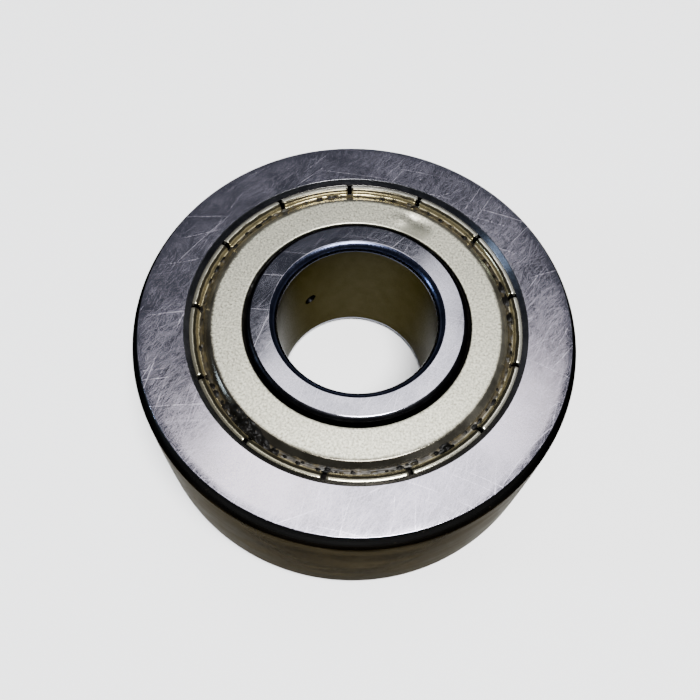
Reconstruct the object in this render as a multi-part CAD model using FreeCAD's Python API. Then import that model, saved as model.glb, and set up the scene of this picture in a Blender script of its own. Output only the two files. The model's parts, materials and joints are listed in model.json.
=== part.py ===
"""Cam follower: a yoke-type track roller on two rows of angular contact balls.

A thick outer ring with a slightly crowned tread runs on two rows of balls around a plain-bored
inner ring. Each row has its own snap cage, and a pressed sheet-steel shield with a slotted, curled
rim closes each side. The bearing's axis is Z. The origin is on that axis, midway between the faces.
Units are millimetres. Profiles are drawn as (radius, height) and turned about Z.
"""

import FreeCAD
import Part

import math
import os

# Outside dimensions
BORE_DIAMETER = 17.0
TREAD_DIAMETER = 47.0
WIDTH = 17.5
CROWN_RADIUS = 500.0

# Outer ring: corner, shield recess and lands beside the raceways
CORNER_WIDTH = 1.9
FACE_OUTER_RADIUS = 22.6
RECESS_MOUTH_RADIUS = 18.0
RECESS_CHAMFER = 0.5
LIP_HEIGHT = 0.12
GROOVE_RADIUS = 17.82
GROOVE_TAPER = 0.23
GROOVE_FOOT = 0.2
OUTER_SIDE_LAND_RADIUS = 16.4
OUTER_MIDDLE_LAND_RADIUS = 15.9

# Inner ring: corners, lands and lubrication hole
BORE_CORNER_RADIAL = 0.8
BORE_CORNER_AXIAL = 1.0
INNER_FACE_RADIUS = 11.21
INNER_SHOULDER_RADIUS = 11.7
INNER_SHOULDER_CORNER = 0.6
INNER_MIDDLE_LAND_RADIUS = 11.3
OIL_HOLE_DIAMETER = 1.3
OIL_HOLE_ANGLE = 134.0

# Balls and raceways
BALL_DIAMETER = 6.747
BALLS_PER_ROW = 8
PITCH_RADIUS = 14.25
ROW_HEIGHT = 3.55
CONTACT_ANGLE = math.radians(25.0)
OUTER_OSCULATION = 0.53
INNER_OSCULATION = 0.52
RUNNING_GAP = 0.05

# Shield: a flat cover, a step down to a valley, and a curled rim cut into tongues
SHEET = 0.3
COVER_DEPTH = 0.65
COVER_BORE_RADIUS = 12.15
COVER_EDGE_RADIUS = 15.3
COVER_BEND = 0.45
STEP_ANGLE = math.radians(38.0)
VALLEY_BEND = 0.15
RIM_DEPTH = 0.6
RIM_CENTRE_RADIUS = 17.24
RIM_RADIUS = 0.5
RIM_SWEEP = math.radians(205.0)
RIM_SLOTS = 13
RIM_SLOT_WIDTH = 0.5
RIM_SLOT_START_RADIUS = 16.45
RIM_SLOT_ANGLE = 15.3

# Cage
CAGE_INNER_RADIUS = 12.9
CAGE_OUTER_RADIUS = 15.5
CAGE_BACK_HEIGHT = 7.55
CAGE_BACK_CHAMFER = 0.35
CAGE_HORN_HEIGHT = 2.4
POCKET_GAP = 0.12
HORN_SLOT_WIDTH = 2.0
HORN_SLOT_TOP = 4.4

# Cutters reach this far past what they cut
CUTTER_MARGIN = 1.0

FACE = WIDTH / 2
VALLEY_HEIGHT = FACE - RIM_DEPTH - RIM_RADIUS - VALLEY_BEND
SEAT_HEIGHT = VALLEY_HEIGHT - SHEET
BALL_RADIUS = BALL_DIAMETER / 2
FULL_TURN = 360.0


def point(radius, height):
    return FreeCAD.Vector(radius, 0, height)


class Profile:
    """A closed outline in the (radius, height) plane, drawn edge by edge from its start."""

    def __init__(self, radius, height):
        self.first = (radius, height)
        self.here = (radius, height)
        self.edges = []

    def line(self, radius, height):
        self.edges.append(Part.LineSegment(point(*self.here), point(radius, height)).toShape())
        self.here = (radius, height)
        return self

    def arc(self, centre, end, clockwise=False):
        """An arc about centre from the present point to end, which is as far from the centre."""
        start_angle = math.atan2(self.here[1] - centre[1], self.here[0] - centre[0])
        end_angle = math.atan2(end[1] - centre[1], end[0] - centre[0])
        if clockwise and end_angle > start_angle:
            end_angle -= 2 * math.pi
        if not clockwise and end_angle < start_angle:
            end_angle += 2 * math.pi
        middle_angle = (start_angle + end_angle) / 2
        radius = math.dist(self.here, centre)
        middle = (
            centre[0] + radius * math.cos(middle_angle),
            centre[1] + radius * math.sin(middle_angle),
        )
        edge = Part.Arc(point(*self.here), point(*middle), point(*end)).toShape()
        self.edges.append(edge)
        self.here = end
        return self

    def turned(self):
        """The solid that the closed outline sweeps in one full turn about Z."""
        if self.here != self.first:
            self.line(*self.first)
        face = Part.Face(Part.Wire(self.edges))
        solid = face.revolve(FreeCAD.Vector(0, 0, 0), FreeCAD.Vector(0, 0, 1), FULL_TURN)
        return solid if solid.Volume > 0 else solid.reversed()


def tangent_radius(run, drop):
    """Radius of an arc that leaves a line tangentially and stands off it by drop after run."""
    return (run * run + drop * drop) / (2 * drop)


def groove_height(centre, radius, land_radius, side):
    """Height at which a raceway arc meets a land; side is +1 outboard and -1 inboard."""
    across = land_radius - centre[0]
    return centre[1] + side * math.sqrt(radius * radius - across * across)


def make_outer_ring():
    crown_end = FACE - CORNER_WIDTH
    crown_centre = (TREAD_DIAMETER / 2 - CROWN_RADIUS, 0)
    crown_end_radius = crown_centre[0] + math.sqrt(CROWN_RADIUS**2 - crown_end**2)
    corner = tangent_radius(CORNER_WIDTH, crown_end_radius - FACE_OUTER_RADIUS)

    # The raceway touches the ball's far side, turned towards the middle of the ring.
    groove = OUTER_OSCULATION * BALL_DIAMETER
    offset = groove - BALL_RADIUS - RUNNING_GAP
    centre = (
        PITCH_RADIUS - offset * math.cos(CONTACT_ANGLE),
        ROW_HEIGHT + offset * math.sin(CONTACT_ANGLE),
    )
    side_land = groove_height(centre, groove, OUTER_SIDE_LAND_RADIUS, 1)
    middle_land = groove_height(centre, groove, OUTER_MIDDLE_LAND_RADIUS, -1)
    lip_radius = RECESS_MOUTH_RADIUS - RECESS_CHAMFER
    lip_top = FACE - RECESS_CHAMFER
    lip_foot = lip_top - LIP_HEIGHT
    seat = SEAT_HEIGHT

    ring = Profile(crown_end_radius, -crown_end)
    ring.arc(crown_centre, (crown_end_radius, crown_end))
    ring.arc((crown_end_radius - corner, crown_end), (FACE_OUTER_RADIUS, FACE))
    ring.line(RECESS_MOUTH_RADIUS, FACE).line(lip_radius, lip_top).line(lip_radius, lip_foot)
    ring.line(GROOVE_RADIUS, lip_foot - GROOVE_TAPER).line(GROOVE_RADIUS, seat + GROOVE_FOOT)
    ring.line(GROOVE_RADIUS - GROOVE_FOOT, seat).line(OUTER_SIDE_LAND_RADIUS, seat)
    ring.line(OUTER_SIDE_LAND_RADIUS, side_land)
    ring.arc(centre, (OUTER_MIDDLE_LAND_RADIUS, middle_land), clockwise=True)
    ring.line(OUTER_MIDDLE_LAND_RADIUS, -middle_land)
    ring.arc((centre[0], -centre[1]), (OUTER_SIDE_LAND_RADIUS, -side_land), clockwise=True)
    ring.line(OUTER_SIDE_LAND_RADIUS, -seat).line(GROOVE_RADIUS - GROOVE_FOOT, -seat)
    ring.line(GROOVE_RADIUS, -seat - GROOVE_FOOT).line(GROOVE_RADIUS, GROOVE_TAPER - lip_foot)
    ring.line(lip_radius, -lip_foot).line(lip_radius, -lip_top).line(RECESS_MOUTH_RADIUS, -FACE)
    ring.line(FACE_OUTER_RADIUS, -FACE)
    ring.arc((crown_end_radius - corner, -crown_end), (crown_end_radius, -crown_end))
    return ring.turned()


def make_inner_ring():
    bore = BORE_DIAMETER / 2
    bore_end = FACE - BORE_CORNER_AXIAL
    bore_corner = tangent_radius(BORE_CORNER_AXIAL, BORE_CORNER_RADIAL)
    bore_mouth = bore + BORE_CORNER_RADIAL
    shoulder_top = FACE - INNER_SHOULDER_CORNER
    shoulder_corner = tangent_radius(
        INNER_SHOULDER_CORNER, INNER_SHOULDER_RADIUS - INNER_FACE_RADIUS
    )

    # The raceway touches the ball's near side, turned towards the ring's face.
    groove = INNER_OSCULATION * BALL_DIAMETER
    offset = groove - BALL_RADIUS - RUNNING_GAP
    centre = (
        PITCH_RADIUS + offset * math.cos(CONTACT_ANGLE),
        ROW_HEIGHT - offset * math.sin(CONTACT_ANGLE),
    )
    shoulder = groove_height(centre, groove, INNER_SHOULDER_RADIUS, 1)
    middle_land = groove_height(centre, groove, INNER_MIDDLE_LAND_RADIUS, -1)

    ring = Profile(bore, bore_end)
    ring.line(bore, -bore_end)
    ring.arc((bore + bore_corner, -bore_end), (bore_mouth, -FACE))
    ring.line(INNER_FACE_RADIUS, -FACE)
    ring.arc(
        (INNER_SHOULDER_RADIUS - shoulder_corner, -shoulder_top),
        (INNER_SHOULDER_RADIUS, -shoulder_top),
    )
    ring.line(INNER_SHOULDER_RADIUS, -shoulder)
    ring.arc((centre[0], -centre[1]), (INNER_MIDDLE_LAND_RADIUS, -middle_land), clockwise=True)
    ring.line(INNER_MIDDLE_LAND_RADIUS, middle_land)
    ring.arc(centre, (INNER_SHOULDER_RADIUS, shoulder), clockwise=True)
    ring.line(INNER_SHOULDER_RADIUS, shoulder_top)
    ring.arc(
        (INNER_SHOULDER_RADIUS - shoulder_corner, shoulder_top), (INNER_FACE_RADIUS, FACE)
    )
    ring.line(bore_mouth, FACE)
    ring.arc((bore + bore_corner, bore_end), (bore, bore_end))
    angle = math.radians(OIL_HOLE_ANGLE)
    outward = FreeCAD.Vector(math.cos(angle), math.sin(angle), 0)
    start = outward * (bore - CUTTER_MARGIN)
    length = INNER_SHOULDER_RADIUS - bore + 2 * CUTTER_MARGIN
    oil_hole = Part.makeCylinder(OIL_HOLE_DIAMETER / 2, length, start, outward)
    return solid_of(ring.turned().cut(oil_hole))


def on_arc(centre, radius, angle):
    return (centre[0] + radius * math.cos(angle), centre[1] + radius * math.sin(angle))


def make_shield():
    """The upper shield: down its outer side from the bore to the rim's end, and back inside."""
    top = FACE - COVER_DEPTH
    cover_under_bend = COVER_BEND - SHEET
    valley_under_bend = VALLEY_BEND + SHEET
    rim_under = RIM_RADIUS - SHEET
    slope = math.pi / 2 - STEP_ANGLE

    # The cover bends down into a straight slope, which bends back up into the valley.
    cover_centre = (COVER_EDGE_RADIUS, top - COVER_BEND)
    slope_top = on_arc(cover_centre, COVER_BEND, slope)
    slope_top_under = on_arc(cover_centre, cover_under_bend, slope)
    valley_centre_height = VALLEY_HEIGHT + VALLEY_BEND
    slope_foot_height = valley_centre_height - VALLEY_BEND * math.sin(slope)
    slope_foot_radius = slope_top[0] + (slope_top[1] - slope_foot_height) / math.tan(STEP_ANGLE)
    valley_centre = (slope_foot_radius + VALLEY_BEND * math.cos(slope), valley_centre_height)
    slope_foot_under = on_arc(valley_centre, valley_under_bend, slope + math.pi)

    # The valley bends up into the rim, which curls over and down beside the ring's groove.
    rise_centre = (RIM_CENTRE_RADIUS - RIM_RADIUS - VALLEY_BEND, valley_centre_height)
    rim_centre = (RIM_CENTRE_RADIUS, valley_centre_height)
    rim_end = math.pi - RIM_SWEEP

    sheet = Profile(COVER_BORE_RADIUS, top)
    sheet.line(COVER_EDGE_RADIUS, top)
    sheet.arc(cover_centre, slope_top, clockwise=True)
    sheet.line(slope_foot_radius, slope_foot_height)
    sheet.arc(valley_centre, (valley_centre[0], VALLEY_HEIGHT))
    sheet.line(rise_centre[0], VALLEY_HEIGHT)
    sheet.arc(rise_centre, (RIM_CENTRE_RADIUS - RIM_RADIUS, rim_centre[1]))
    sheet.arc(rim_centre, on_arc(rim_centre, RIM_RADIUS, rim_end), clockwise=True)
    sheet.line(*on_arc(rim_centre, rim_under, rim_end))
    sheet.arc(rim_centre, (RIM_CENTRE_RADIUS - rim_under, rim_centre[1]))
    sheet.arc(rise_centre, (rise_centre[0], SEAT_HEIGHT), clockwise=True)
    sheet.line(valley_centre[0], SEAT_HEIGHT)
    sheet.arc(valley_centre, slope_foot_under, clockwise=True)
    sheet.line(*slope_top_under)
    sheet.arc(cover_centre, (COVER_EDGE_RADIUS, top - SHEET))
    sheet.line(COVER_BORE_RADIUS, top - SHEET)
    shield = sheet.turned()

    slot_length = GROOVE_RADIUS + CUTTER_MARGIN - RIM_SLOT_START_RADIUS
    slot_bottom = SEAT_HEIGHT - CUTTER_MARGIN
    slot = Part.makeBox(slot_length, RIM_SLOT_WIDTH, FACE - slot_bottom)
    slot.translate(FreeCAD.Vector(RIM_SLOT_START_RADIUS, -RIM_SLOT_WIDTH / 2, slot_bottom))
    slots = [
        turned_copy(slot, RIM_SLOT_ANGLE + i * FULL_TURN / RIM_SLOTS) for i in range(RIM_SLOTS)
    ]
    return solid_of(shield.cut(slots))


def make_cage(first_ball_angle):
    """The upper row's snap cage: a back ring with two springy horns round each ball."""
    back = Profile(CAGE_INNER_RADIUS, CAGE_HORN_HEIGHT)
    back.line(CAGE_OUTER_RADIUS, CAGE_HORN_HEIGHT)
    back.line(CAGE_OUTER_RADIUS, CAGE_BACK_HEIGHT - CAGE_BACK_CHAMFER)
    back.line(CAGE_OUTER_RADIUS - CAGE_BACK_CHAMFER, CAGE_BACK_HEIGHT)
    back.line(CAGE_INNER_RADIUS, CAGE_BACK_HEIGHT)
    ring = back.turned()

    pocket = Part.makeSphere(BALL_RADIUS + POCKET_GAP, FreeCAD.Vector(PITCH_RADIUS, 0, ROW_HEIGHT))
    slot_start = CAGE_INNER_RADIUS - CUTTER_MARGIN
    slot_length = CAGE_OUTER_RADIUS - CAGE_INNER_RADIUS + 2 * CUTTER_MARGIN
    slot_bottom = CAGE_HORN_HEIGHT - CUTTER_MARGIN
    slot_straight = HORN_SLOT_TOP - HORN_SLOT_WIDTH / 2
    slot = Part.makeBox(slot_length, HORN_SLOT_WIDTH, slot_straight - slot_bottom)
    slot.translate(FreeCAD.Vector(slot_start, -HORN_SLOT_WIDTH / 2, slot_bottom))
    slot_end = Part.makeCylinder(
        HORN_SLOT_WIDTH / 2,
        slot_length,
        FreeCAD.Vector(slot_start, 0, slot_straight),
        FreeCAD.Vector(1, 0, 0),
    )
    slot = slot.fuse(slot_end)
    pitch_angle = FULL_TURN / BALLS_PER_ROW
    cutters = []
    for i in range(BALLS_PER_ROW):
        angle = first_ball_angle + i * pitch_angle
        cutters.append(turned_copy(pocket, angle))
        cutters.append(turned_copy(slot, angle + pitch_angle / 2))
    return solid_of(ring.cut(cutters))


def make_ball(angle, height):
    """A ball whose poles lie on the axis that it spins about."""
    side = 1 if height > 0 else -1
    tilt = math.degrees(CONTACT_ANGLE) * side
    ball = Part.makeSphere(BALL_RADIUS)
    ball.rotate(FreeCAD.Vector(0, 0, 0), FreeCAD.Vector(0, 1, 0), tilt)
    ball.translate(FreeCAD.Vector(PITCH_RADIUS, 0, height))
    return turned_copy(ball, angle)


def turned_copy(shape, degrees):
    made = shape.copy()
    made.rotate(FreeCAD.Vector(0, 0, 0), FreeCAD.Vector(0, 0, 1), degrees)
    return made


def turned_over(shape):
    """The same piece for the lower side, turned half a turn about X."""
    made = shape.copy()
    made.rotate(FreeCAD.Vector(0, 0, 0), FreeCAD.Vector(1, 0, 0), FULL_TURN / 2)
    return made


def solid_of(shape):
    """The one solid that a cut left."""
    solids = shape.Solids
    if len(solids) != 1:
        raise ValueError(f"a piece came out as {len(solids)} solids")
    return solids[0]


def make_parts():
    """Every piece by its name. The lower row's balls sit between those of the upper row."""
    pitch_angle = FULL_TURN / BALLS_PER_ROW
    lower_start = pitch_angle / 2
    shield = make_shield()
    parts = {
        "outer_ring": make_outer_ring(),
        "inner_ring": make_inner_ring(),
        "upper_shield": shield,
        "lower_shield": turned_over(shield),
        "upper_cage": make_cage(0.0),
        "lower_cage": turned_over(make_cage(-lower_start)),
    }
    for i in range(BALLS_PER_ROW):
        parts[f"upper_ball_{i + 1}"] = make_ball(i * pitch_angle, ROW_HEIGHT)
        parts[f"lower_ball_{i + 1}"] = make_ball(lower_start + i * pitch_angle, -ROW_HEIGHT)
    return parts


def main():
    os.makedirs("parts", exist_ok=True)
    for name, shape in make_parts().items():
        if not shape.isValid():
            raise ValueError(f"{name} isn't a valid solid")
        shape.exportStep(f"parts/{name}.step")
        print(f"{name}: {shape.Volume:.2f} mm3")


main()
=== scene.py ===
"""The looks of the cam follower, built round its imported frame.

Each turned piece is a fine lathe of the same section as its CAD node, with its edges broken, and it
replaces that node. Outlines are in millimetres as (radius, height), and meshes are in metres.
"""

import json
import math
import random

import bmesh
import bpy
from mathutils import Matrix, Vector, noise


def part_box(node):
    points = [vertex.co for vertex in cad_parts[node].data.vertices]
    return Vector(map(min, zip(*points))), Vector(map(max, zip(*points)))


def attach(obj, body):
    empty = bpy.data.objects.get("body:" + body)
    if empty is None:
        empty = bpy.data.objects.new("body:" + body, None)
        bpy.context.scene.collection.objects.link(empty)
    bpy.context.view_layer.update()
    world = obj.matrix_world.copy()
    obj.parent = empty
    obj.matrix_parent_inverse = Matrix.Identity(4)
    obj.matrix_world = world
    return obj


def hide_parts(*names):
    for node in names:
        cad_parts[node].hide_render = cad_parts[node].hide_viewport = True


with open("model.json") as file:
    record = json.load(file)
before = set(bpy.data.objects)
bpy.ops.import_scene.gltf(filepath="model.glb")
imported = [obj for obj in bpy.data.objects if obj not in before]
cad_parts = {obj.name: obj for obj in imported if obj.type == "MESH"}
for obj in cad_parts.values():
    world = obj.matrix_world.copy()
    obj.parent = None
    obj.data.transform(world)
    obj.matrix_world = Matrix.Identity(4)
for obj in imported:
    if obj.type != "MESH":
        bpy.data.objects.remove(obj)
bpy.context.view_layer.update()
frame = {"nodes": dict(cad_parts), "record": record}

MM = 0.001

# Driving sizes in millimetres. What the frame can tell is read from it.
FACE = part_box("outer_ring")[1].z / MM
TREAD_RADIUS = min(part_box("outer_ring")[1].x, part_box("outer_ring")[1].y) / MM
BORE_RADIUS = next(m["dims"]["r_mm"] for m in frame["record"]["mounts"] if m["name"] == "bore")

# Outer ring
CROWN_RADIUS = 500.0
CORNER_WIDTH = 1.9
FACE_OUTER_RADIUS = 22.6
ROLL_OFF_WIDTH = 0.8
ROLL_OFF_DROP = 0.026
RECESS_MOUTH_RADIUS = 18.0
RECESS_CHAMFER = 0.5
LIP_HEIGHT = 0.12
GROOVE_RADIUS = 17.82
GROOVE_TAPER = 0.23
GROOVE_FOOT = 0.2
OUTER_SIDE_LAND_RADIUS = 16.4
OUTER_MIDDLE_LAND_RADIUS = 15.9

# Inner ring
BORE_CORNER_RADIAL = 0.8
BORE_CORNER_AXIAL = 1.0
INNER_FACE_RADIUS = 11.21
INNER_SHOULDER_RADIUS = 11.7
INNER_SHOULDER_CORNER = 0.6
INNER_MIDDLE_LAND_RADIUS = 11.3
OIL_HOLE_RADIUS = 0.65
OIL_HOLE_ANGLE = math.radians(134.0)

# Balls and raceways
BALL_RADIUS = 3.3735
PITCH_RADIUS = 14.25
ROW_HEIGHT = 3.55
CONTACT_ANGLE = math.radians(25.0)
OUTER_GROOVE = 1.06 * BALL_RADIUS
INNER_GROOVE = 1.04 * BALL_RADIUS
RUNNING_GAP = 0.05

# Shield: a flat cover, a step down to a valley, and a curled rim cut into tongues
SHEET = 0.3
COVER_DEPTH = 0.65
COVER_BORE_RADIUS = 12.15
COVER_EDGE_RADIUS = 15.3
COVER_BEND = 0.45
STEP_ANGLE = math.radians(38.0)
VALLEY_BEND = 0.15
RIM_DEPTH = 0.6
RIM_CENTRE_RADIUS = 17.24
RIM_RADIUS = 0.5
RIM_SWEEP = math.radians(205.0)
RIM_SLOTS = 13
RIM_SLOT_WIDTH = 0.5
RIM_SLOT_ANGLE = math.radians(15.3)
RIM_SLOT_ROOT_RADIUS = 16.45
TONGUE_LIFT = 0.022
TONGUE_TILT = 0.02
TONGUE_SHIFT = 0.012
VALLEY_HEIGHT = FACE - RIM_DEPTH - RIM_RADIUS - VALLEY_BEND
SEAT_HEIGHT = VALLEY_HEIGHT - SHEET

# The cover's wear: a faint wave, one dent with a bulge beside it, and painted shade beside the dent
COVER_WAVE = 0.012
DENT_ANGLE = math.radians(67.5)
DENT_RADIUS = 14.4
DENT_DEPTH = 0.22
DENT_HALF_LENGTH = 1.5
DENT_HALF_WIDTH = 0.6
BULGE_SHIFT = (1.5, -0.5)
BULGE_SIZE = 0.8
# Centre of the painted shade beside the dent
DENT_SHADE_CENTRE = (5.4, 11.6)

# The direction of the shield's side that is painted darker, as painted shade on its grease and rim
SHADED_SIDE = (-0.45, -0.89)

# Lumps of black grease in the valley: angle in degrees, radius, half width, depth
CLUMPS = (
    (232, 16.2, 1.1, 0.4), (227, 16.0, 0.8, 0.32), (237, 16.35, 0.9, 0.35), (242, 16.4, 0.6, 0.3),
    (223, 16.35, 0.5, 0.25), (246, 16.45, 0.5, 0.25), (307, 16.45, 0.6, 0.3), (15, 16.5, 0.6, 0.2),
    (20, 16.5, 0.5, 0.2), (7, 16.5, 0.5, 0.2))
SMALL_LUMPS = 150
SMALL_LUMPS_BROWN = 70
VALLEY_RADIUS = 16.0

# Scratches on the ground faces. The long ones bend round far centres: direction and distance.
# The hairlines run straight: direction and strength.
SCRATCH_CENTRES = ((322, 45), (128, 50), (342, 60), (265, 75))
HAIRLINES = ((52, 1.0), (22, 0.7), (128, 0.6), (80, 0.9))

EDGE_BREAK = 0.05
SEGMENTS = 288

# The camera, in metres and degrees, and the studio
CAMERA_PLACE = (0.0009255, -0.0390592, 0.0813541)
CAMERA_ELEVATION = math.radians(57.486)
CAMERA_ROLL = math.radians(5.538)
CAMERA_LENS = 40.26
CAMERA_SHIFT = (-0.0317, -0.1318)
FLOOR_HALF = 3.0
HORIZON = (0.42, 0.43, 0.44, 1.0)
ZENITH = (0.07, 0.078, 0.096, 1.0)
WALL_BAND = (0.12, 0.3)


# Outlines

def on_arc(centre, radius, angle):
    """The point of a circle at an angle."""
    return (centre[0] + radius * math.cos(angle), centre[1] + radius * math.sin(angle))


def arc(centre, start, end, steps, clockwise=False):
    """Points along an arc about centre, both ends included."""
    first = math.atan2(start[1] - centre[1], start[0] - centre[0])
    last = math.atan2(end[1] - centre[1], end[0] - centre[0])
    if clockwise and last > first:
        last -= 2 * math.pi
    if not clockwise and last < first:
        last += 2 * math.pi
    radius = math.dist(start, centre)
    return [on_arc(centre, radius, first + (last - first) * i / steps) for i in range(steps + 1)]


def tangent_radius(run, drop):
    """Radius of an arc that leaves a line tangentially and stands off it by drop after run."""
    return (run * run + drop * drop) / (2 * drop)


def groove_height(centre, radius, land_radius, side):
    """Where a ball groove meets the land at land_radius, above its centre (side 1) or below (-1)."""
    across = land_radius - centre[0]
    return centre[1] + side * math.sqrt(radius * radius - across * across)


def broken_edge(before, corner, after, size=EDGE_BREAK, steps=4):
    """A small rounding of a corner, held in place by a point just before and just after it."""
    here = Vector(corner)
    back = (Vector(before) - here).normalized()
    ahead = (Vector(after) - here).normalized()
    half = back.angle(ahead) / 2
    reach = size / math.tan(half)
    hold = reach + 0.6 * size
    centre = here + (back + ahead).normalized() * (size / math.sin(half))
    start = here + back * reach - centre
    end = here + ahead * reach - centre
    first = math.atan2(start.y, start.x)
    sweep = math.remainder(math.atan2(end.y, end.x) - first, 2 * math.pi)
    rounding = [on_arc(centre, size, first + sweep * i / steps) for i in range(steps + 1)]
    return [tuple(here + back * hold), *rounding, tuple(here + ahead * hold)]


class Outline:
    """A closed outline whose stretches each carry the number of their material."""

    def __init__(self):
        self.points = []
        self.numbers = []

    def add(self, points, number):
        """Adds points; the stretches that lead to them have that material."""
        for point in points:
            if self.points and math.dist(point, self.points[-1]) < 1e-6:
                continue
            self.points.append(point)
            self.numbers.append(number)

    def mirrored(self):
        """The whole outline of a ring that is alike on both sides, from its upper half."""
        whole = Outline()
        whole.points = [(r, -h) for r, h in reversed(self.points)] + self.points
        lower = self.numbers[:0:-1]
        whole.numbers = [self.numbers[-1], *lower, *self.numbers]
        return whole


def outer_ring_outline():
    """Materials: 0 tread and corners, 1 ground face, 2 shield recess, 3 raceways and lands."""
    crown_end = FACE - CORNER_WIDTH
    crown_centre = (TREAD_RADIUS - CROWN_RADIUS, 0)
    crown_top = (crown_centre[0] + math.sqrt(CROWN_RADIUS**2 - crown_end**2), crown_end)
    corner = tangent_radius(CORNER_WIDTH, crown_top[0] - FACE_OUTER_RADIUS)
    corner_centre = (crown_top[0] - corner, crown_end)
    face_edge = (FACE_OUTER_RADIUS, FACE - ROLL_OFF_DROP)
    near_edge = on_arc(corner_centre, corner, 0.97 * math.acos(
        (FACE_OUTER_RADIUS - corner_centre[0]) / corner))
    mouth = (RECESS_MOUTH_RADIUS, FACE)
    lip = (RECESS_MOUTH_RADIUS - RECESS_CHAMFER, FACE - RECESS_CHAMFER)
    lip_foot = (lip[0], lip[1] - LIP_HEIGHT)
    groove_top = (GROOVE_RADIUS, lip_foot[1] - GROOVE_TAPER)

    offset = OUTER_GROOVE - BALL_RADIUS - RUNNING_GAP
    race = (
        PITCH_RADIUS - offset * math.cos(CONTACT_ANGLE),
        ROW_HEIGHT + offset * math.sin(CONTACT_ANGLE),
    )
    side = (
        OUTER_SIDE_LAND_RADIUS, groove_height(race, OUTER_GROOVE, OUTER_SIDE_LAND_RADIUS, 1))
    middle = (
        OUTER_MIDDLE_LAND_RADIUS, groove_height(race, OUTER_GROOVE, OUTER_MIDDLE_LAND_RADIUS, -1))

    half = Outline()
    half.add(arc(crown_centre, (TREAD_RADIUS, 0), crown_top, 12)[1:], 0)
    half.add(arc(corner_centre, crown_top, near_edge, 14), 0)
    half.add(broken_edge(near_edge, face_edge, mouth), 1)
    for i in range(1, 7):
        left = 1 - i / 6
        radius = FACE_OUTER_RADIUS - ROLL_OFF_WIDTH * (1 - left)
        half.add([(radius, FACE - ROLL_OFF_DROP * left ** 2)], 1)
    mouth_edge = broken_edge(face_edge, mouth, lip)
    half.add(mouth_edge[:1], 1)
    half.add(mouth_edge[1:], 2)
    half.add(broken_edge(mouth, lip, lip_foot), 2)
    half.add([lip_foot, groove_top, (GROOVE_RADIUS, SEAT_HEIGHT + GROOVE_FOOT)], 2)
    half.add([(GROOVE_RADIUS - GROOVE_FOOT, SEAT_HEIGHT), (side[0], SEAT_HEIGHT)], 2)
    half.add(arc(race, side, middle, 24, clockwise=True), 3)
    return half.mirrored()


def inner_ring_outline():
    """Materials: 0 bore, 1 bore corners, 2 ground face, 3 outer corners, 4 raceways and lands."""
    bore_corner = tangent_radius(BORE_CORNER_AXIAL, BORE_CORNER_RADIAL)
    bore_end = (BORE_RADIUS, FACE - BORE_CORNER_AXIAL)
    mouth = (BORE_RADIUS + BORE_CORNER_RADIAL, FACE)
    bore_centre = (BORE_RADIUS + bore_corner, bore_end[1])
    face_edge = (INNER_FACE_RADIUS, FACE)
    shoulder_top = (INNER_SHOULDER_RADIUS, FACE - INNER_SHOULDER_CORNER)
    shoulder_corner = tangent_radius(
        INNER_SHOULDER_CORNER, INNER_SHOULDER_RADIUS - INNER_FACE_RADIUS)
    shoulder_centre = (INNER_SHOULDER_RADIUS - shoulder_corner, shoulder_top[1])

    offset = INNER_GROOVE - BALL_RADIUS - RUNNING_GAP
    race = (
        PITCH_RADIUS + offset * math.cos(CONTACT_ANGLE),
        ROW_HEIGHT - offset * math.sin(CONTACT_ANGLE),
    )
    shoulder = (
        INNER_SHOULDER_RADIUS, groove_height(race, INNER_GROOVE, INNER_SHOULDER_RADIUS, 1))
    middle = (
        INNER_MIDDLE_LAND_RADIUS, groove_height(race, INNER_GROOVE, INNER_MIDDLE_LAND_RADIUS, -1))

    near_mouth = arc(bore_centre, bore_end, mouth, 20, clockwise=True)[-2]
    near_face = arc(shoulder_centre, face_edge, shoulder_top, 20, clockwise=True)[1]
    half = Outline()
    half.add(arc(race, middle, shoulder, 24, clockwise=True), 4)
    half.add(arc(shoulder_centre, shoulder_top, near_face, 8), 3)
    half.add(broken_edge(near_face, face_edge, mouth), 2)
    half.add(broken_edge(face_edge, mouth, near_mouth), 2)
    half.add(arc(bore_centre, near_mouth, bore_end, 10), 1)
    half.add([(BORE_RADIUS, bore_end[1] * (5 - i) / 6) for i in range(5)], 0)
    return half.mirrored()


# Meshes

def new_object(name, verts, faces, numbers, materials, sharp=35.0):
    """A smooth-shaded mesh from millimetre points, with each face's material number."""
    mesh = bpy.data.meshes.new(name)
    mesh.from_pydata([Vector(v) * MM for v in verts], [], faces)
    for material in materials:
        mesh.materials.append(material)
    mesh.polygons.foreach_set("material_index", numbers)
    mesh.polygons.foreach_set("use_smooth", [True] * len(faces))
    mesh.update()
    mesh.set_sharp_from_angle(angle=math.radians(sharp))
    made = bpy.data.objects.new(name, mesh)
    bpy.context.scene.collection.objects.link(made)
    return made


def lathe(name, outline, materials, segments=SEGMENTS):
    """The ring that a closed outline sweeps about Z."""
    count = len(outline.points)
    verts = []
    for s in range(segments):
        angle = 2 * math.pi * s / segments
        cos, sin = math.cos(angle), math.sin(angle)
        verts += [(r * cos, r * sin, h) for r, h in outline.points]
    faces = []
    numbers = []
    for s in range(segments):
        here, ahead = s * count, (s + 1) % segments * count
        for i in range(count):
            before = i - 1 if i else count - 1
            faces.append((here + before, ahead + before, ahead + i, here + i))
            numbers.append(outline.numbers[i])
    return new_object(name, verts, faces, numbers, materials)


def turned_over(made, name):
    """A copy for the lower side, turned half a turn about X."""
    mesh = made.data.copy()
    mesh.transform(Matrix.Rotation(math.pi, 4, "X"))
    other = bpy.data.objects.new(name, mesh)
    bpy.context.scene.collection.objects.link(other)
    return other


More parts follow.
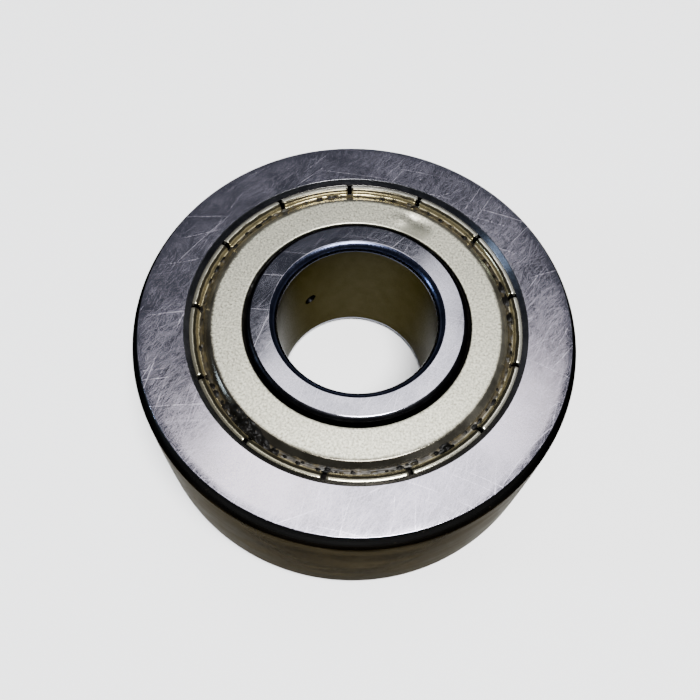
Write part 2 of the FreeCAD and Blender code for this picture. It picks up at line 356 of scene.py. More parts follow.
def with_oil_hole(ring):
    """Cuts the lubrication hole, with a flared mouth, through the inner ring.

    The hole's wall takes the dark material of the ring's outer corners, which paints shade in the hole."""
    reach = INNER_SHOULDER_RADIUS - BORE_RADIUS + 2
    lead = 1.0
    flare = 0.12
    near_axis = 1e-4
    outline = Outline()
    outline.add([(near_axis, 0), (OIL_HOLE_RADIUS + lead, 0)], 0)
    outline.add([(OIL_HOLE_RADIUS + flare, lead - flare * 0.4)], 0)
    outline.add([(OIL_HOLE_RADIUS + flare * 0.35, lead + flare * 0.3)], 0)
    outline.add([(OIL_HOLE_RADIUS, lead + flare), (OIL_HOLE_RADIUS, reach), (near_axis, reach)], 0)
    cutter = lathe("oil_hole_cutter", outline, [ring.data.materials[0]], 40)
    outward = Vector((math.cos(OIL_HOLE_ANGLE), math.sin(OIL_HOLE_ANGLE), 0))
    turn = outward.to_track_quat("Z", "Y").to_matrix().to_4x4()
    cutter.data.transform(Matrix.Translation(outward * (BORE_RADIUS - lead) * MM) @ turn)
    cut = ring.modifiers.new("oil_hole", "BOOLEAN")
    cut.operation = "DIFFERENCE"
    cut.object = cutter
    cut.solver = "EXACT"
    bpy.context.view_layer.update()
    evaluated = ring.evaluated_get(bpy.context.evaluated_depsgraph_get())
    mesh = bpy.data.meshes.new_from_object(evaluated)
    ring.modifiers.clear()
    ring.data = mesh
    bpy.data.objects.remove(cutter)
    for face in mesh.polygons:
        place = face.center / MM
        off = (place - outward * place.dot(outward)).length
        if off < OIL_HOLE_RADIUS + 1.1 * flare and place.xy.length > BORE_RADIUS + 0.03:
            # Painted shade: the hole's wall takes the near-black corner material
            face.material_index = len(mesh.materials) - 2
    mesh.set_sharp_from_angle(angle=math.radians(35))
    return ring


# Shield

def shield_stations():
    """Pairs of points, one on each side of the sheet, from the bore to the rim's end."""
    top = FACE - COVER_DEPTH
    slope = math.pi / 2 - STEP_ANGLE
    cover_centre = (COVER_EDGE_RADIUS, top - COVER_BEND)
    bend_height = VALLEY_HEIGHT + VALLEY_BEND
    slope_top = on_arc(cover_centre, COVER_BEND, slope)
    foot_height = bend_height - VALLEY_BEND * math.sin(slope)
    foot_radius = slope_top[0] + (slope_top[1] - foot_height) / math.tan(STEP_ANGLE)
    valley_centre = (foot_radius + VALLEY_BEND * math.cos(slope), bend_height)
    rise_centre = (RIM_CENTRE_RADIUS - RIM_RADIUS - VALLEY_BEND, bend_height)
    rim_centre = (RIM_CENTRE_RADIUS, bend_height)

    def bend(centre, outside, inside, first, last, steps):
        angles = [first + (last - first) * i / steps for i in range(steps + 1)]
        return [(on_arc(centre, outside, a), on_arc(centre, inside, a)) for a in angles]

    def flat(first, last, height, steps):
        radii = [first + (last - first) * i / steps for i in range(steps + 1)]
        return [((r, height), (r, height - SHEET)) for r in radii]

    edge = 0.08
    pairs = []
    for share in (0.0, 0.3, 0.7):
        drop = edge * (1 - math.sin(share * math.pi / 2))
        radius = COVER_BORE_RADIUS + edge * (1 - math.cos(share * math.pi / 2))
        pairs.append(((radius, top - drop), (radius, top - SHEET + drop)))
    pairs += flat(COVER_BORE_RADIUS + edge, COVER_EDGE_RADIUS, top, 20)
    pairs += bend(cover_centre, COVER_BEND, COVER_BEND - SHEET, math.pi / 2, slope, 6)[1:]
    pairs += bend(
        valley_centre, VALLEY_BEND, VALLEY_BEND + SHEET, slope + math.pi, 1.5 * math.pi, 5)
    pairs += flat(valley_centre[0], rise_centre[0], VALLEY_HEIGHT, 6)[1:]
    pairs += bend(rise_centre, VALLEY_BEND, VALLEY_BEND + SHEET, 1.5 * math.pi, 2 * math.pi, 5)[1:]
    pairs += bend(
        rim_centre, RIM_RADIUS, RIM_RADIUS - SHEET, math.pi, math.pi - RIM_SWEEP, 20)[1:]
    return pairs


def slot_half_width(radius):
    """Half the width of a rim slot at a radius in the valley; its root is round."""
    half = RIM_SLOT_WIDTH / 2
    inward = (RIM_SLOT_ROOT_RADIUS + half - radius) / half
    if inward >= 1:
        return 0.0
    return half * math.sqrt(1 - max(0.0, inward) ** 2)


def make_shield(name, material, seed):
    """A pressed shield, whose tongues all sit a little differently, with a dent in its cover."""
    rng = random.Random(seed)
    pairs = shield_stations()
    pitch = 2 * math.pi / RIM_SLOTS
    inner = [i / 9 for i in range(-9, 10)]
    across = [-1, -0.985, -0.955] + [0.93 * u for u in inner] + [0.955, 0.985, 1]
    tongues = [(rng.uniform(-1, 1), rng.uniform(-1, 1), rng.uniform(-1, 1)) for _ in range(RIM_SLOTS)]
    crest = FACE - RIM_DEPTH
    verts = []

    def placed(point, angle, lift):
        radius, height = point
        return (radius * math.cos(angle), radius * math.sin(angle), height + lift)

    for t, (high, tilt, shift) in enumerate(tongues):
        centre = RIM_SLOT_ANGLE + (t + 0.5) * pitch
        for outside, inside in pairs:
            middle = (Vector(outside) + Vector(inside)) / 2
            half = slot_half_width(middle.x)
            rise = min(1.0, max(0.0, (middle.x - 16.5) / 0.5))
            for u in across:
                lift = rise * (TONGUE_LIFT * high + TONGUE_TILT * tilt * u)
                shrink = 0.35 * max(0.0, (abs(u) - 0.955) / 0.045) ** 2 if half else 0.0
                for point in (outside, inside):
                    p = Vector(point).lerp(middle, shrink)
                    p.x += rise * TONGUE_SHIFT * shift
                    angle = centre + u * (pitch / 2 - half / p.x)
                    wave = cover_wave(p.x, angle, seed)
                    verts.append(placed(p, angle, min(lift + wave, crest + 0.03 - p.y)))

    columns, rows = len(across), len(pairs)

    def vertex(tongue, row, column, side):
        return ((tongue * rows + row) * columns + column) * 2 + side

    faces = []
    for t in range(RIM_SLOTS):
        for row in range(rows - 1):
            for c in range(columns - 1):
                a, b = vertex(t, row, c, 0), vertex(t, row, c + 1, 0)
                d, e = vertex(t, row + 1, c, 0), vertex(t, row + 1, c + 1, 0)
                faces.append((a, d, e, b))
                faces.append((a + 1, b + 1, e + 1, d + 1))
            middle = (Vector(pairs[row + 1][0]) + Vector(pairs[row + 1][1])) / 2
            if slot_half_width(middle.x):
                for c, order in ((0, 1), (columns - 1, -1)):
                    a, d = vertex(t, row, c, 0), vertex(t, row + 1, c, 0)
                    faces.append((a, a + 1, d + 1, d)[::order])
        for row, order in ((0, 1), (rows - 1, -1)):
            for c in range(columns - 1):
                a, b = vertex(t, row, c, 0), vertex(t, row, c + 1, 0)
                faces.append((a, b, b + 1, a + 1)[::order])
    made = new_object(name, verts, faces, [0] * len(faces), [material])
    weld = bmesh.new()
    weld.from_mesh(made.data)
    bmesh.ops.remove_doubles(weld, verts=weld.verts, dist=1e-4 * MM)
    bmesh.ops.recalc_face_normals(weld, faces=weld.faces)
    weld.to_mesh(made.data)
    weld.free()
    made.data.set_sharp_from_angle(angle=math.radians(50))
    return made


def cover_wave(radius, angle, seed):
    """How far the cover is off flat: a faint waviness, and one dent with a bulge beside it."""
    where = Vector((radius * math.cos(angle), radius * math.sin(angle), 7.0 * seed))
    inside = min(1.0, max(0.0, (16.3 - radius) / 1.0))
    wave = COVER_WAVE * noise.noise(where * 0.35)
    along = math.remainder(angle - DENT_ANGLE, 2 * math.pi) * radius
    across = radius - DENT_RADIUS
    dent = -DENT_DEPTH * math.exp(-(along / DENT_HALF_LENGTH) ** 2 - (across / DENT_HALF_WIDTH) ** 2)
    beside = math.dist((along, across), BULGE_SHIFT) / BULGE_SIZE
    bulge = 0.5 * DENT_DEPTH * math.exp(-beside ** 2)
    return inside * (wave + dent + bulge)


def sheet_height(radius):
    """The height of a shield's top between its cover and its rim."""
    line = [outside for outside, inside in shield_stations() if outside[0] > COVER_EDGE_RADIUS - 0.5]
    for (a, low), (b, high) in zip(line, line[1:]):
        if a <= radius <= b:
            return low + (high - low) * (radius - a) / (b - a)
    raise ValueError(f"no sheet at radius {radius}")


def grease_film(name, material, radii, seed, film, lumps):
    """Grease on a shield's step and valley.

    film is the thin ring's middle radius, half width and depth, and each lump is its angle, radius,
    half width and depth. Where there is none, the top is just under the sheet's top and doesn't show."""
    around, across = 900, 26
    heights = []
    for i in range(across + 1):
        radius = radii[0] + (radii[1] - radii[0]) * i / across
        heights.append((radius, sheet_height(radius)))
    verts = []
    for s in range(around):
        angle = 2 * math.pi * s / around
        near = [
            lump for lump in lumps
            if abs(math.remainder(angle - lump[0], 2 * math.pi)) * VALLEY_RADIUS < 3 * lump[2]]
        for radius, height in heights:
            here = Vector((radius * math.cos(angle), radius * math.sin(angle), 3.0 * seed))
            rough = noise.fractal(here * 1.5, 0.9, 2.1, 3)
            crown = 1 - ((radius - film[0]) / film[1]) ** 2
            deep = film[2] * max(0.0, crown) * (1 + 0.6 * rough) - 0.02
            for at, middle, wide, tall in near:
                along = math.remainder(angle - at, 2 * math.pi) * VALLEY_RADIUS / wide
                over = (radius - middle) / (0.6 * wide)
                deep = max(deep, tall * (math.exp(-along ** 2 - over ** 2) * (1 + 0.9 * rough) - 0.12))
            verts.append((here.x, here.y, height + max(deep, -0.04)))
            verts.append((here.x, here.y, height - 0.1))
    rows = 2 * (across + 1)
    faces = []
    for s in range(around):
        here, ahead = s * rows, (s + 1) % around * rows
        for i in range(0, rows - 2, 2):
            faces.append((here + i, here + i + 2, ahead + i + 2, ahead + i))
            faces.append((here + i + 1, ahead + i + 1, ahead + i + 3, here + i + 3))
        faces.append((here, ahead, ahead + 1, here + 1))
        faces.append((here + rows - 2, here + rows - 1, ahead + rows - 1, ahead + rows - 2))
    return new_object(name, verts, faces, [0] * len(faces), [material], sharp=80)


def gap_grease_and_shade(name, material, inner, outer, floor, deep, seed):
    """An uneven ring of near-black grease behind the gap between a shield and the inner ring, which also
    stands in for the shade in the gap.
    """
    around, across = 360, 8
    verts = []
    for s in range(around):
        angle = 2 * math.pi * s / around
        for i in range(across + 1):
            u = i / across
            radius = inner + (outer - inner) * u
            here = Vector((radius * math.cos(angle), radius * math.sin(angle), 3.0 * seed))
            rough = noise.fractal(here * 1.6, 0.8, 2.1, 3)
            verts.append((here.x, here.y, floor + math.sin(math.pi * u) ** 0.6 * deep * (1 + 0.4 * rough)))
    rows = across + 1
    faces = []
    for s in range(around):
        here, ahead = s * rows, (s + 1) % around * rows
        for i in range(across):
            faces.append((here + i, here + i + 1, ahead + i + 1, ahead + i))
        faces.append((here + across, here, ahead, ahead + across))
    return new_object(name, verts, faces, [0] * len(faces), [material], sharp=80)


# Materials

class Shader:
    """A node material, with short calls for the nodes that it is made of."""

    def __init__(self, name, **values):
        self.material = bpy.data.materials.new(name)
        self.material.use_nodes = True
        self.tree = self.material.node_tree
        self.main = self.tree.nodes["Principled BSDF"]
        self.set(**values)
        scale = self.node("ShaderNodeVectorMath", operation="SCALE")
        self.link(self.node("ShaderNodeTexCoord").outputs["Object"], scale.inputs[0])
        scale.inputs["Scale"].default_value = 1 / MM
        self.place = scale.outputs[0]
        split = self.node("ShaderNodeSeparateXYZ")
        self.link(self.place, split.inputs[0])
        self.x, self.y, self.z = split.outputs
        self.radius = self.math("SQRT", self.math(
            "ADD", self.math("MULTIPLY", self.x, self.x), self.math("MULTIPLY", self.y, self.y)))
        self.height = self.math("ABSOLUTE", self.z)

    def node(self, kind, **settings):
        made = self.tree.nodes.new(kind)
        for key, value in settings.items():
            setattr(made, key, value)
        return made

    def link(self, source, socket):
        self.tree.links.new(source, socket)

    def feed(self, socket, value):
        if isinstance(value, bpy.types.NodeSocket):
            self.link(value, socket)
        else:
            socket.default_value = value

    def set(self, **values):
        """Sets the shader's own sockets, such as roughness=0.4 or base_color=(r, g, b)."""
        for key, value in values.items():
            socket = self.main.inputs[key.replace("_", " ").title().replace("Ior", "IOR")]
            if isinstance(value, tuple):
                value = (*value, 1.0)
            self.feed(socket, value)

    def math(self, operation, a, b=0.0, clamp=False):
        made = self.node("ShaderNodeMath", operation=operation, use_clamp=clamp)
        self.feed(made.inputs[0], a)
        self.feed(made.inputs[1], b)
        return made.outputs[0]

    def span(self, value, low, high, to_low=0.0, to_high=1.0, smooth=True):
        """Maps value from low..high to to_low..to_high, and no further."""
        made = self.node("ShaderNodeMapRange", interpolation_type="SMOOTHSTEP" if smooth else "LINEAR")
        for socket, number in zip(made.inputs, (value, low, high, to_low, to_high)):
            self.feed(socket, number)
        return made.outputs[0]

    def noise(self, scale, detail, roughness, place=None):
        """Smooth noise, mostly from 0.3 to 0.7; scale is in cells per millimetre."""
        made = self.node("ShaderNodeTexNoise")
        self.link(place or self.place, made.inputs["Vector"])
        for key, value in (("Scale", scale), ("Detail", detail), ("Roughness", roughness)):
            made.inputs[key].default_value = value
        return made.outputs["Fac"]

    def stretched(self, scale):
        """The place on the object with each axis scaled by its own number."""
        made = self.node("ShaderNodeMapping")
        self.link(self.place, made.inputs["Vector"])
        made.inputs["Scale"].default_value = scale
        return made.outputs[0]

    def mix(self, share, a, b):
        """Colour a where share is 0 and b where it is 1."""
        made = self.node("ShaderNodeMix", data_type="RGBA")
        sockets = [x for x in made.inputs if x.type == "RGBA"]
        self.feed(made.inputs[0], share)
        self.feed(sockets[0], (*a, 1.0) if isinstance(a, tuple) else a)
        self.feed(sockets[1], (*b, 1.0) if isinstance(b, tuple) else b)
        return next(x for x in made.outputs if x.type == "RGBA")

    def bump(self, height, distance):
        """Adds relief: height from 0 to 1 stands for distance millimetres."""
        made = self.node("ShaderNodeBump")
        made.inputs["Strength"].default_value = 1.0
        made.inputs["Distance"].default_value = distance * MM
        self.link(height, made.inputs["Height"])
        self.link(made.outputs[0], self.main.inputs["Normal"])

    def strokes(self, bend_at, spacing, length, width, seed, share):
        """Separate scratches, arcs about the far point bend_at: 0 on the ground, 1 on a scratch.

        They lie in rows, spacing apart, and each has its own place, strength and end in its row.
        share is how many of them show."""
        gap_x = self.math("SUBTRACT", self.x, bend_at[0])
        gap_y = self.math("SUBTRACT", self.y, bend_at[1])
        away = self.math("SQRT", self.math(
            "ADD", self.math("MULTIPLY", gap_x, gap_x), self.math("MULTIPLY", gap_y, gap_y)))
        away = self.math("DIVIDE", away, spacing)
        row = self.math("FLOOR", away)
        turn = self.math("MULTIPLY", self.math("ARCTAN2", gap_y, gap_x), math.hypot(*bend_at) / length)
        along = self.math("ADD", turn, self.math("MULTIPLY", self.dice(row, 0.5, seed)[0], 31.7))
        place, chance, _ = self.dice(row, self.math("FLOOR", along), seed)
        place = self.span(place, 0.0, 1.0, 0.25, 0.75, smooth=False)
        off = self.math("ABSOLUTE", self.math("SUBTRACT", self.math("FRACT", away), place))
        line = self.span(self.math("MULTIPLY", off, spacing), 0.3 * width, width, 1.0, 0.0)
        end = self.math("ABSOLUTE", self.math("SUBTRACT", self.math("FRACT", along), 0.5))
        line = self.math("MULTIPLY", line, self.span(end, 0.2, 0.5, 1.0, 0.0))
        return self.math("MULTIPLY", line, self.span(chance, 1 - share, 1.0, smooth=False))

    def hairlines(self, angle, across, length, seed):
        """Fine parallel scratches in one direction, from 0 to 1: a contour of noise drawn out along it.

        Its cells are length millimetres long, and there are across of them in a millimetre's width."""
        turned = self.node("ShaderNodeMapping", vector_type="TEXTURE")
        self.link(self.place, turned.inputs["Vector"])
        turned.inputs["Location"].default_value = (3.1 * seed, 7.3 * seed, 0.0)
        turned.inputs["Rotation"].default_value = (0.0, 0.0, angle)
        turned.inputs["Scale"].default_value = (length, 1.0 / across, 1.0)
        level = self.noise(1.0, 2.0, 0.6, turned.outputs[0])
        off = self.math("ABSOLUTE", self.math("SUBTRACT", level, 0.5))
        return self.span(off, 0.0, 0.05, 1.0, 0.0)

    def dice(self, a, b, c):
        """Three random numbers for each cell that a, b and c name."""
        joined = self.node("ShaderNodeCombineXYZ")
        for socket, value in zip(joined.inputs, (a, b, c)):
            self.feed(socket, value)
        made = self.node("ShaderNodeTexWhiteNoise")
        self.link(joined.outputs[0], made.inputs["Vector"])
        split = self.node("ShaderNodeSeparateColor")
        self.link(made.outputs["Color"], split.inputs[0])
        return split.outputs


def ground_steel(name, seed, dark, light, rough, wear=1.0):
    """Ground steel, with faint cloudy patches, crossing hairlines and longer, slightly bent scratches.

    rough is the roughness between the scratches, and wear is the hairlines' strength."""
    made = Shader(name, metallic=1.0)
    deep = hair = 0.0
    for i, (angle, far) in enumerate(SCRATCH_CENTRES):
        centre = (far * math.cos(math.radians(angle)), far * math.sin(math.radians(angle)))
        line = made.strokes(centre, spacing=1.5, length=9.0, width=0.065, seed=seed + i, share=0.6)
        deep = made.math("MAXIMUM", line, deep)
    for i, (angle, share) in enumerate(HAIRLINES):
        line = made.hairlines(math.radians(angle), across=2.6, length=5.0, seed=seed + i)
        hair = made.math("MAXIMUM", made.math("MULTIPLY", line, share * wear), hair)
    cloud = made.noise(0.22, 4.0, 0.6)
    grain = made.noise(7.0, 3.0, 0.7)
    worn = made.math("ADD", made.math("MULTIPLY", hair, 0.5), made.math("MULTIPLY", deep, 0.6), True)
    tone = made.math("ADD", made.span(cloud, 0.3, 0.7, 0.0, 0.35), made.span(grain, 0.3, 0.7, 0.0, 0.3))
    tone = made.math("ADD", tone, made.math("MULTIPLY", worn, 0.6), True)
    made.set(
        base_color=made.mix(tone, dark, light),
        roughness=made.math(
            "ADD", made.span(cloud, 0.3, 0.7, rough, rough + 0.03), made.math("MULTIPLY", worn, 0.16)))
    made.bump(grain, 0.00012)
    return made.material


def tread_steel():
    """The tread's oily brown film, drawn out round the ring, and the turned corners beside it. The film's
    brown is darkened with a painted dark reflection, and the corners are painted near black as a painted
    dark reflection.
    """
    made = Shader("tread_steel", metallic=1.0, specular_tint=(0.12, 0.11, 0.085))
    lines = made.noise(1.0, 3.0, 0.65, made.stretched((0.07, 0.07, 7.0)))
    smears = made.noise(1.0, 4.0, 0.6, made.stretched((0.16, 0.16, 0.55)))
    flecks = made.span(made.noise(2.6, 2.0, 0.5), 0.72, 0.78)
    # The oily film's brown, darkened with a painted dark reflection
    film = made.mix(made.span(smears, 0.3, 0.7), (0.068, 0.058, 0.038), (0.087, 0.075, 0.05))
    film = made.mix(made.span(lines, 0.4, 0.7, 0.0, 0.25), film, (0.13, 0.115, 0.085))
    # Painted dark reflection: the corners are near black, darkest towards the face
    corner = made.mix(made.span(made.height, FACE - 1.7, FACE - 0.6),
                      (0.016, 0.013, 0.009), (0.008, 0.008, 0.008))
    colour = made.mix(made.span(made.height, FACE - 1.75, FACE - 1.35), film, corner)
    made.set(
        base_color=made.mix(made.math("MULTIPLY", flecks, 0.3), colour, (0.12, 0.1, 0.075)),
        roughness=made.math("ADD", made.span(smears, 0.3, 0.7, 0.24, 0.36), made.math(
            "MULTIPLY", lines, 0.14)))
    made.bump(lines, 0.002)
    return made.material


def plain_steel(name, dark, light, rough, relief=0.002, rim=1.0):
    """Machined steel with a mottled film of oil; rim is how bright it is at a glancing angle."""
    made = Shader(name, metallic=1.0, specular_tint=(rim, rim, rim))
    patch = made.noise(0.6, 4.0, 0.6)
    grain = made.noise(6.0, 3.0, 0.6)
    made.set(
        base_color=made.mix(made.span(patch, 0.3, 0.7), dark, light),
        roughness=made.span(grain, 0.3, 0.7, rough, rough + 0.12))
    made.bump(grain, relief)
    return made.material


def recess_steel():
    """The chamfer at the mouth of the recess, dark grey as a painted dark reflection, and the near-black
    wall below it, which is painted shade.
    """
    made = Shader("recess_steel", metallic=1.0)
    patch = made.noise(0.6, 4.0, 0.6)
    grain = made.noise(6.0, 3.0, 0.6)
    # Painted dark reflection: the chamfer's dark grey
    chamfer = made.mix(made.span(patch, 0.3, 0.7), (0.055, 0.056, 0.062), (0.10, 0.10, 0.108))
    # Painted shade: near black on the recess wall below the chamfer, which shows through the rim's slots
    film = made.mix(made.span(patch, 0.3, 0.7), (0.002, 0.002, 0.002), (0.008, 0.007, 0.006))
    made.set(
        base_color=made.mix(made.span(made.height, FACE - 0.75, FACE - 0.55), film, chamfer),
        roughness=made.span(grain, 0.3, 0.7, 0.18, 0.26))
    made.bump(grain, 0.002)
    return made.material


def shield_steel(name, seed):
    """Satin sheet with a fine grain; brown grease dulls its step, valley and rim roots. Painted shade
    darkens one side, the dent's edge and the rim's inner flank, and a painted reflection brightens the
    rim's crest on the other side.
    """
    made = Shader(name, metallic=0.85)
    place = made.node("ShaderNodeVectorMath", operation="ADD")
    made.link(made.place, place.inputs[0])
    place.inputs[1].default_value = (11.0 * seed, 5.0 * seed, 0.0)
    place = place.outputs[0]
    grain = made.noise(4.2, 3.0, 0.7, place)
    cloud = made.noise(0.4, 4.0, 0.6, place)
    bright = made.mix(made.span(grain, 0.35, 0.65), (0.38, 0.37, 0.285), (0.77, 0.75, 0.61))
    bright = made.mix(made.span(cloud, 0.55, 0.8, 0.0, 0.4), bright, (0.48, 0.47, 0.38))

    # Painted shade beside the dent, on the upper cover only
    dent_shade_x = made.math("SUBTRACT", made.x, DENT_SHADE_CENTRE[0])
    dent_shade_y = made.math("SUBTRACT", made.y, DENT_SHADE_CENTRE[1])
    dent_shade = made.math("ADD", made.math("MULTIPLY", dent_shade_x, dent_shade_x), made.math(
        "MULTIPLY", made.math("MULTIPLY", dent_shade_y, dent_shade_y), 3.0))
    dent_shade = made.math("MULTIPLY", made.span(dent_shade, 0.2, 6.0, 0.8, 0.0), made.span(grain, 0.35, 0.6))
    dent_shade = made.math("MULTIPLY", dent_shade, made.math("GREATER_THAN", made.z, 0.0))
    bright = made.mix(dent_shade, bright, (0.10, 0.10, 0.075))

    # Brown grease from the step outwards, with painted shade that darkens it towards the shaded side
    edge = made.span(made.noise(0.9, 4.0, 0.65, place), 0.3, 0.7, -0.04, 0.04)
    ragged = made.math("ADD", made.radius, edge)
    brown = made.mix(made.span(cloud, 0.35, 0.65), (0.09, 0.083, 0.064), (0.2, 0.186, 0.146))
    toward_shaded_side = made.math("ADD", made.math("MULTIPLY", made.x, SHADED_SIDE[0]), made.math("MULTIPLY", made.y, SHADED_SIDE[1]))
    # Painted shade: the brown darkens towards the shaded side
    brown = made.mix(made.span(toward_shaded_side, 2.0, 14.0, 0.0, 0.85), brown, (0.03, 0.026, 0.018))
    soil = made.span(ragged, 15.02, 15.44)
    colour = made.mix(soil, bright, brown)
    smooth = made.math("MULTIPLY", soil, -0.16)

    # The rim: a stained root, a dark foot that is painted shade on its inner flank, and a crest painted
    # bright on one side and dark towards the shaded side, a painted reflection
    # Painted reflection: the crest is bright on the side opposite the shaded side and dark towards it
    rim = made.mix(made.span(toward_shaded_side, -15.0, 15.0, smooth=False), (0.78, 0.76, 0.65), (0.25, 0.235, 0.17))
    # The dark foot is painted shade on the rim's inner flank
    for start, end, tint in ((16.56, 16.62, (0.42, 0.36, 0.2)), (16.8, 16.9, (0.05, 0.044, 0.026)),
                             (17.12, 17.2, rim)):
        colour = made.mix(made.span(ragged, start, end), colour, tint)
    made.set(
        base_color=colour,
        roughness=made.math("ADD", made.span(grain, 0.3, 0.7, 0.27, 0.37), smooth))
    made.bump(grain, 0.008)
    return made.material


def grease(name, dark, light, fleck_and_glint, shine):
    """Old grease with light flecks, which are partly painted glints; shine is how strongly it reflects."""
    made = Shader(name, metallic=0.0, roughness=0.4, specular_ior_level=shine)
    patch = made.noise(1.3, 4.0, 0.6)
    specks = made.span(made.noise(3.4, 3.0, 0.6), 0.7, 0.76)
    colour = made.mix(made.span(patch, 0.4, 0.68), dark, light)
    # Light flecks, partly painted glints
    made.set(base_color=made.mix(specks, colour, fleck_and_glint))
    made.bump(made.noise(5.0, 3.0, 0.6), 0.012)
    return made.material


def cage_plastic():
    """The cages' brown, slightly uneven plastic."""
    made = Shader("cage_plastic", metallic=0.0, roughness=0.5)
    patch = made.noise(0.8, 4.0, 0.6)
    made.set(base_color=made.mix(made.span(patch, 0.3, 0.7), (0.16, 0.115, 0.06), (0.28, 0.21, 0.12)))
    made.bump(made.noise(4.0, 3.0, 0.6), 0.008)
    return made.material


# The pieces

def put(made, body, node):
    """Sets a piece on its body, in place of its CAD node."""
    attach(made, body)
    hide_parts(node)


def repaint(node, material):
    """Gives a carried-over CAD node its material."""
    for slot in frame["nodes"][node].material_slots:
        slot.material = material


tread = tread_steel()
recess = recess_steel()
raceway = plain_steel(
    "raceway_steel", (0.3, 0.3, 0.31), (0.42, 0.42, 0.43), rough=0.14, relief=0.0005)
outer_face = ground_steel(
    "outer_ground_steel", 1.0, (0.37, 0.355, 0.415), (0.72, 0.672, 0.80), rough=0.13)
inner_face = ground_steel(
    "inner_ground_steel", 50.0, (0.27, 0.27, 0.315), (0.67, 0.645, 0.74), rough=0.075, wear=0.6)
# Painted shade: the bore's dark olive-brown is an oily film, made darker as the bore's painted shade
bore = plain_steel(
    "bore_steel", (0.029, 0.026, 0.015), (0.034, 0.0305, 0.0185), rough=0.3, rim=0.4)
bore_corner = plain_steel(
    "bore_corner_steel", (0.03, 0.036, 0.065), (0.06, 0.07, 0.12), rough=0.14, relief=0.0006)
# Painted shade: the inner ring's outer corners are near black, as the shade in the gap beside the shield
shoulder = plain_steel(
    "shoulder_steel", (0.005, 0.005, 0.006), (0.012, 0.012, 0.014), rough=0.3, rim=0.2)
ball_steel = plain_steel(
    "ball_steel", (0.35, 0.34, 0.32), (0.5, 0.5, 0.5), rough=0.1, relief=0.0003)

outer_ring = lathe("outer_ring_turned", outer_ring_outline(), [tread, outer_face, recess, raceway])
put(outer_ring, "outer_ring", "outer_ring")

inner_ring = lathe(
    "inner_ring_turned", inner_ring_outline(), [bore, bore_corner, inner_face, shoulder, raceway])
put(with_oil_hole(inner_ring), "inner_ring", "inner_ring")

shield = shield_steel("shield_steel", 1)
upper_shield = make_shield("upper_shield_pressed", shield, 3)
lower_shield = turned_over(make_shield("shield_pattern", shield, 8), "lower_shield_pressed")
bpy.data.objects.remove(bpy.data.objects["shield_pattern"])
put(upper_shield, "outer_ring", "upper_shield")
put(lower_shield, "outer_ring", "lower_shield")

brown_grease = grease(
    "brown_grease", (0.008, 0.0065, 0.0035), (0.034, 0.026, 0.011), (0.3, 0.24, 0.12), 0.2)
black_grease = grease(
    "black_grease", (0.0012, 0.0012, 0.001), (0.004, 0.0035, 0.003), (0.12, 0.09, 0.05), 0.06)
for side, turn, seed in (("upper", 0.0, 5), ("lower", math.pi, 6)):
    rng = random.Random(seed)
    small = [(rng.uniform(0, 2 * math.pi), rng.uniform(16.25, 16.55), rng.uniform(0.12, 0.35),
              rng.uniform(0.06, 0.16)) for _ in range(SMALL_LUMPS)]
    big = [(math.radians(a) + turn, r, w, d) for a, r, w, d in CLUMPS]
    brown = grease_film(
        f"{side}_brown_grease", brown_grease, radii=(15.9, 16.6), seed=seed,
        film=(16.28, 0.26, 0.05), lumps=small[:SMALL_LUMPS_BROWN])
    black = grease_film(
        f"{side}_black_grease", black_grease, radii=(15.4, 16.68), seed=seed + 2,
        film=(16.3, 0.01, 0.0), lumps=big + small[SMALL_LUMPS_BROWN:])
    # Painted shade: the near-black ring behind the gap is grease and also the gap's shade
    gap = gap_grease_and_shade(
        f"{side}_gap_grease_and_shade", black_grease, inner=11.85, outer=12.8, floor=7.0, deep=0.4, seed=9 + seed)
    for made, body in ((brown, "outer_ring"), (black, "outer_ring"), (gap, f"{side}_cage")):
        made.data.transform(Matrix.Rotation(turn, 4, "X"))
        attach(made, body)

cage = cage_plastic()
for side in ("upper", "lower"):
    repaint(f"{side}_cage", cage)
    for i in range(8):
        repaint(f"{side}_ball_{i + 1}", ball_steel)


# The stage

def area_light(name, place, size, power, colour=(1, 1, 1), level_turn=None):
    """An oval light that faces the object, or faces down and is turned about Z by level_turn."""
    data = bpy.data.lights.new(name, "AREA")
    data.shape = "ELLIPSE"
    data.size, data.size_y = size
    data.energy = power
    data.color = colour
    made = bpy.data.objects.new(name, data)
    made.location = place
    if level_turn is None:
        made.rotation_euler = Vector(place).to_track_quat("Z", "Y").to_euler()
    else:
        made.rotation_euler = (0, 0, level_turn)
    bpy.context.scene.collection.objects.link(made)


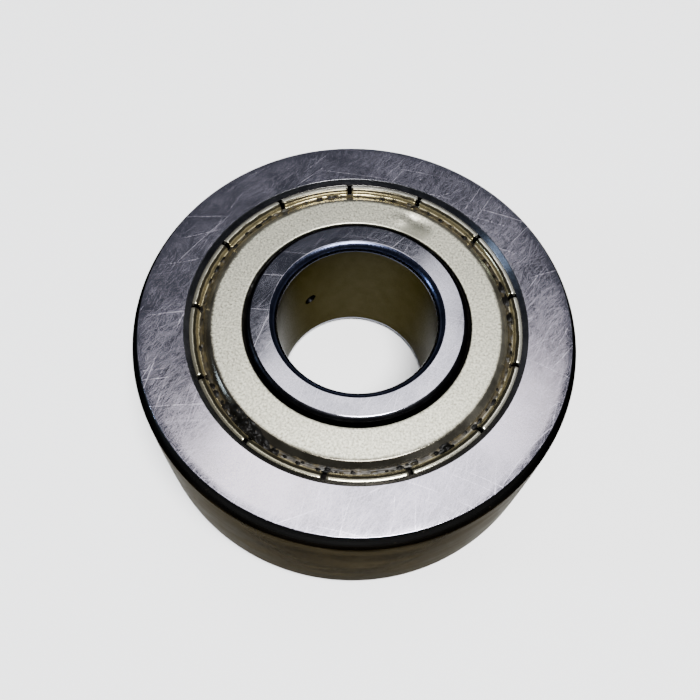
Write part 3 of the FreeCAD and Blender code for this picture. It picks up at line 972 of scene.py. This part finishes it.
def make_floor():
    """A pale sheet under the part."""
    mesh = bpy.data.meshes.new("floor")
    corners = ((-1, -1), (1, -1), (1, 1), (-1, 1))
    mesh.from_pydata(
        [(x * FLOOR_HALF, y * FLOOR_HALF, -FACE * MM) for x, y in corners], [], [(0, 1, 2, 3)])
    floor = bpy.data.objects.new("floor", mesh)
    bpy.context.scene.collection.objects.link(floor)
    made = Shader("floor_paint", roughness=0.7, base_color=(0.92, 0.92, 0.92))
    mesh.materials.append(made.material)


def make_world():
    """A dim studio whose walls are paler near the floor."""
    world = bpy.data.worlds.new("studio")
    world.use_nodes = True
    nodes, links = world.node_tree.nodes, world.node_tree.links
    place = nodes.new("ShaderNodeTexCoord")
    split = nodes.new("ShaderNodeSeparateXYZ")
    walls = nodes.new("ShaderNodeValToRGB")
    for element, height, colour in zip(walls.color_ramp.elements, WALL_BAND, (HORIZON, ZENITH)):
        element.position = height
        element.color = colour
    links.new(place.outputs["Generated"], split.inputs[0])
    links.new(split.outputs[2], walls.inputs[0])
    links.new(walls.outputs[0], nodes["Background"].inputs[0])
    bpy.context.scene.world = world


def make_camera():
    """The camera stands in front and above, leans a little to its side, and its picture is shifted."""
    data = bpy.data.cameras.new("camera")
    data.sensor_width = 36.0
    data.lens = CAMERA_LENS
    data.shift_x, data.shift_y = CAMERA_SHIFT
    data.clip_start = 0.005
    camera = bpy.data.objects.new("camera", data)
    tilt = Matrix.Rotation(math.pi / 2 - CAMERA_ELEVATION, 4, "X")
    roll = Matrix.Rotation(CAMERA_ROLL, 4, "Z")
    camera.matrix_world = Matrix.Translation(CAMERA_PLACE) @ tilt @ roll
    bpy.context.scene.collection.objects.link(camera)
    bpy.context.scene.camera = camera


make_floor()
make_world()
make_camera()
area_light("key", (0.15, -0.27, 1.2), (0.45, 0.45), 50)
area_light("overhead", (0.02, 0.27, 1.0), (0.46, 0.58), 1.8, level_turn=math.radians(-14))
area_light("window", (-1.2, -0.19, 0.37), (0.2, 0.26), 6.5, (0.55, 0.74, 1.0))
area_light("warm_patch", (-0.12, 0.26, 0.95), (0.16, 0.12), 0.13, (1.0, 0.9, 0.8))
area_light("right_patch", (0.225, 0.385, 0.95), (0.14, 0.13), 0.105, (1.0, 0.94, 0.9))
area_light("ring_patch", (0.109, 0.565, 0.95), (0.1, 0.1), 0.06)
